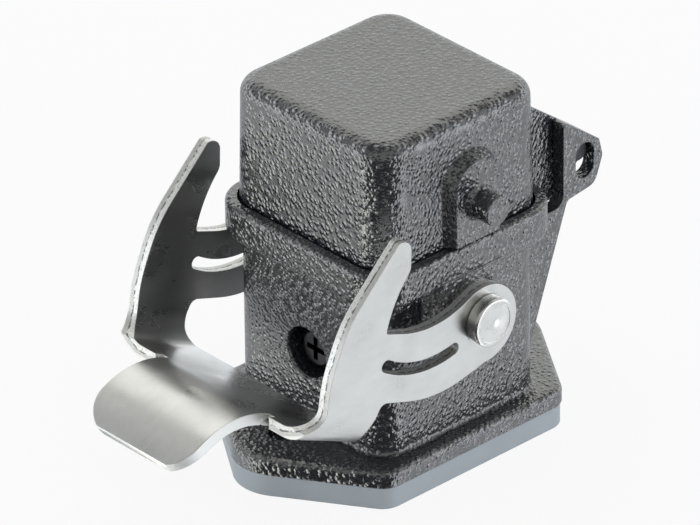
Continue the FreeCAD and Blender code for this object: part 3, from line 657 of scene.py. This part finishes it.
class CONNECTOR_OT_lever(Operator):
    """Finish the folded locking lever, its skins apart from its cut edges"""

    bl_idname = "connector.lever"
    bl_label = "Locking Lever"

    def execute(self, context):
        settings = context.scene.connector_steel
        lever = merged_copy("locking_lever", "folded_lever", settings.weld)
        lever.data.materials.append(stainless_sheet(settings))
        lever.data.materials.append(sheared_edge(settings))
        mesh = bmesh.new()
        mesh.from_mesh(lever.data)
        regions = smooth_regions(mesh, settings.crease)
        regions.sort(key=lambda region: -sum(face.calc_area() for face in region))
        for region in regions[2:]:
            for face in region:
                face.material_index = 1
        depth = mesh.verts.layers.float.new(CUT_DEPTH)
        outer = max(regions[:2], key=lambda region: max(
            abs(vertex.co.x) for face in region for vertex in face.verts))
        for face in outer:
            for vertex in face.verts:
                vertex[depth] = 1.0
        mesh.to_mesh(lever.data)
        mesh.free()
        shade_by_angle(lever, LEVER_CREASE)
        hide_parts("locking_lever")
        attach(lever, "lever_body")
        return {"FINISHED"}


class CONNECTOR_OT_fasteners(Operator):
    """Finish the rivets, washers, screws and the hinge pin"""

    bl_idname = "connector.fasteners"
    bl_label = "Rivets, Screws And Pin"

    def execute(self, context):
        settings = context.scene.connector_fasteners
        low, high = (Vector(corner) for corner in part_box("lever_rivet_right"))
        rivet = turned_steel("rivet_steel", settings.rivet_colour, roughness=0.26,
                             centre=(0.0, (low.y + high.y) / 2, (low.z + high.z) / 2))
        rivets = turned_rivets(settings, rivet, low, high)
        shade_by_angle(rivets, RIVET_CREASE)
        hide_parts(*("lever_rivet_" + side for side in SIDES))
        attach(rivets, BASE)
        screw = turned_steel("plated_screw_steel", settings.screw_colour, roughness=0.3)
        pin = turned_steel("dark_pin_steel", settings.pin_colour, roughness=0.4)
        for side in SIDES:
            coat_on(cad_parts["pivot_washer_" + side], rivet)
        coat_on(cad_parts["hinge_pin"], pin)
        # Painted shade: this screw's near-black colour stands in for the shade of the recess
        coat_on(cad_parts["insert_fixing_screw"], turned_steel(
            "blackened_screw_steel", settings.recess_shade_colour, roughness=0.28, depth=0.004 * MM))
        screws = ["earth_clamp_screw"] + ["terminal_screw_%d" % number for number in CONTACTS]
        for node in screws:
            coat_on(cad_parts[node], screw)
        return {"FINISHED"}


class CONNECTOR_OT_insert(Operator):
    """Finish the contact insert and its contacts"""

    bl_idname = "connector.insert"
    bl_label = "Contact Insert"

    def execute(self, context):
        settings = context.scene.connector_insert
        coat_on(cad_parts["insert_body"],
                moulded_plastic("insert_plastic", settings.plastic_colour))
        silver = turned_steel("silver_plating", settings.contact_colour, roughness=0.3,
                              depth=0.005 * MM)
        contacts = ["earth_contact"] + ["socket_contact_%d" % number for number in CONTACTS]
        for node in contacts:
            coat_on(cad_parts[node], silver)
        return {"FINISHED"}


# Brightness of what glossy surfaces mirror, from behind the object (0) to the camera (1): of the
# table, which lies below the horizon, and of the walls above it
TABLE_SHEEN = ((0.0, 0.32), (0.46, 0.33), (0.54, 0.25), (0.62, 0.38), (0.68, 1.0), (0.74, 0.92),
               (0.81, 0.02))
WALL_SHEEN = ((0.0, 1.0), (0.22, 0.9), (0.33, 0.4), (0.42, 0.06), (0.62, 0.06), (0.85, 0.5))
TABLE_COLOUR = (2.7, 2.78, 2.86)
WALL_COLOUR = (1.03, 1.03, 0.98)
# Height at which the table gives way to the walls, as the upward part of a ray
HORIZON = (0.0, 0.14)
# Bright strip along the horizon, from straight down (0) to straight up (1), and where it starts
# and is full, from behind the object to the camera
STRIP_SHEEN = ((0.41, 0.0), (0.46, 1.0), (0.55, 1.0), (0.61, 0.0))
STRIP_START = (-0.3, 0.4)
STRIP_COLOUR = (2.3, 2.39, 2.48)
# Paler sheet on the table: its azimuth in degrees, where it starts and is full, and its colour
SHEET_TURN = -27.0
SHEET_EDGE = (0.968, 0.993)
SHEET_COLOUR = (4.2, 4.2, 3.9)
# Grey of the floor, and the share of plain white in what the camera sees of it
FLOOR_COLOUR = (0.92, 0.92, 0.92)
FLOOR_WHITE = 0.88
BLACK = colour((0.0, 0.0, 0.0))
WHITE = colour((1.0, 1.0, 1.0))
# Each lamp's azimuth and elevation in degrees, the length of its sides and its tint
LAMPS = {
    "key": (-50, 28, 0.7, (0.97, 0.99, 1.0)),
    "fill": (128, 24, 0.6, (0.96, 0.98, 1.0)),
    "top": (225, 58, 0.8, (1.0, 0.99, 0.96)),
}
LAMP_DISTANCE = 0.8
LAMP_AIM = 22 * MM


def bearing(azimuth, elevation):
    """Unit vector from the object towards an azimuth and elevation."""
    return Vector((math.sin(azimuth) * math.cos(elevation),
                   -math.cos(azimuth) * math.cos(elevation), math.sin(elevation)))


def make_camera(settings):
    """Camera at the photograph's place, turn and lens."""
    back = bearing(settings.azimuth, settings.elevation)
    level = Vector((math.cos(settings.azimuth), math.sin(settings.azimuth), 0.0))
    upright = back.cross(level)
    right = level * math.cos(settings.roll) + upright * math.sin(settings.roll)
    up = upright * math.cos(settings.roll) - level * math.sin(settings.roll)
    aim = Vector((0.0, 0.0, settings.aim_height))
    data = bpy.data.cameras.new("product_camera")
    data.lens = settings.lens
    data.sensor_width = 36.0
    data.shift_x = settings.shift
    data.clip_start = settings.distance * 0.1
    data.clip_end = settings.distance * 20
    camera = bpy.data.objects.new("product_camera", data)
    turn = Matrix((right, up, back)).transposed().to_4x4()
    camera.matrix_world = Matrix.Translation(aim + back * settings.distance) @ turn
    bpy.context.scene.collection.objects.link(camera)
    bpy.context.scene.camera = camera


def make_lamp(name, power):
    """Soft square lamp that faces the object."""
    azimuth, elevation, size, tint = LAMPS[name]
    data = bpy.data.lights.new(name + "_lamp", "AREA")
    data.shape = "SQUARE"
    data.size = size
    data.energy = power
    data.color = tint
    lamp = bpy.data.objects.new(name + "_lamp", data)
    away = bearing(math.radians(azimuth), math.radians(elevation))
    lamp.location = away * LAMP_DISTANCE + Vector((0.0, 0.0, LAMP_AIM))
    lamp.rotation_euler = away.to_track_quat("Z", "Y").to_euler()
    bpy.context.scene.collection.objects.link(lamp)


def make_floor(size):
    """Pale floor that looks white to the camera and keeps the object's shadow."""
    mesh = bpy.data.meshes.new("studio_floor")
    half = size / 2
    mesh.from_pydata([(-half, -half, 0), (half, -half, 0), (half, half, 0), (-half, half, 0)],
                     [], [(0, 1, 2, 3)])
    floor = bpy.data.objects.new("studio_floor", mesh)
    bpy.context.scene.collection.objects.link(floor)
    shader = Shader("studio_floor")
    path = shader.add("ShaderNodeLightPath").outputs
    pale = shader.add("ShaderNodeBsdfDiffuse", {"Color": colour(FLOOR_COLOUR)})
    white = shader.add("ShaderNodeEmission", {"Color": WHITE, "Strength": 1.0})
    seen = shader.add("ShaderNodeMixShader", {
        0: shader.math("MULTIPLY", path["Is Camera Ray"], FLOOR_WHITE), 1: pale.outputs[0],
        2: white.outputs[0]})
    clear = shader.add("ShaderNodeBsdfTransparent")
    mirrored = shader.add("ShaderNodeMixShader", {
        0: path["Is Glossy Ray"], 1: seen.outputs[0], 2: clear.outputs[0]})
    shader.put(shader.tree.nodes["Material Output"].inputs["Surface"], mirrored.outputs[0])
    mesh.materials.append(shader.material)


def make_world(room_light, azimuth):
    """Even room light, white to the camera, with pale walls and a dark camera side in mirrors."""
    world = bpy.data.worlds.new("studio_room")
    shader = Shader("studio_room", world, "Background")
    path = shader.add("ShaderNodeLightPath").outputs
    ray = shader.places.outputs["Generated"]
    ahead = bearing(azimuth, 0.0)
    sideways = shader.across(shader.levelled(ray), ahead)
    table = shader.ramp(sideways, TABLE_SHEEN)
    sheet = shader.across(shader.levelled(ray), bearing(math.radians(SHEET_TURN), 0.0))
    pale = shader.blend(shader.spread(sheet, *SHEET_EDGE), colour(TABLE_COLOUR),
                        colour(SHEET_COLOUR))
    walls = shader.ramp(shader.across(ray, ahead), WALL_SHEEN)
    up = shader.height_of(ray)
    above = shader.spread(up, *HORIZON)
    mirrored = shader.blend(above, shader.blend(table, BLACK, pale),
                            shader.blend(walls, BLACK, colour(WALL_COLOUR)))
    strip = shader.ramp(shader.spread(up, -1.0, 1.0), STRIP_SHEEN)
    strip = shader.math("MULTIPLY", strip, shader.spread(table, 0.02, 0.3))
    strip = shader.math("MULTIPLY", strip, shader.spread(sideways, *STRIP_START))
    mirrored = shader.blend(strip, mirrored, colour(STRIP_COLOUR))
    lit = shader.blend(path["Is Glossy Ray"], colour([room_light] * 3), mirrored)
    seen = shader.blend(path["Is Camera Ray"], lit, WHITE)
    shader.finish(Color=seen, Strength=1.0)
    bpy.context.scene.world = world


class CONNECTOR_OT_stage(Operator):
    """Set up the camera, the lamps, the room and the floor"""

    bl_idname = "connector.stage"
    bl_label = "Studio Stage"

    def execute(self, context):
        settings = context.scene.connector_stage
        make_camera(settings)
        make_floor(settings.floor_size)
        make_world(settings.room_light, settings.azimuth)
        for name in LAMPS:
            make_lamp(name, getattr(settings, name + "_power"))
        context.scene.view_settings.view_transform = "Standard"
        return {"FINISHED"}


class CONNECTOR_PT_panel(Panel):
    """Lists the pieces of the connector and the stage"""

    bl_idname = "CONNECTOR_PT_panel"
    bl_label = "Rectangular Connector"
    bl_space_type = "VIEW_3D"
    bl_region_type = "UI"
    bl_category = "Connector"

    def draw(self, context):
        for operator in OPERATORS:
            self.layout.operator(operator.bl_idname)


GROUPS = {
    "connector_coat": CoatSettings,
    "connector_steel": SteelSettings,
    "connector_fasteners": FastenerSettings,
    "connector_insert": InsertSettings,
    "connector_stage": StageSettings,
}
OPERATORS = (
    CONNECTOR_OT_castings,
    CONNECTOR_OT_gasket,
    CONNECTOR_OT_lever,
    CONNECTOR_OT_fasteners,
    CONNECTOR_OT_insert,
    CONNECTOR_OT_stage,
)


def register():
    """Registers the classes and puts the settings on the scene."""
    for group in (*GROUPS.values(), *OPERATORS, CONNECTOR_PT_panel):
        bpy.utils.register_class(group)
    for name, group in GROUPS.items():
        setattr(bpy.types.Scene, name, PointerProperty(type=group))


def unregister():
    """Takes the settings and the classes away again."""
    for name in GROUPS:
        delattr(bpy.types.Scene, name)
    for group in (CONNECTOR_PT_panel, *reversed(OPERATORS), *reversed(GROUPS.values())):
        bpy.utils.unregister_class(group)


def main():
    """Makes every piece in order."""
    register()
    for operator in OPERATORS:
        family, name = operator.bl_idname.split(".")
        getattr(getattr(bpy.ops, family), name)()


if __name__ == "__main__":
    main()
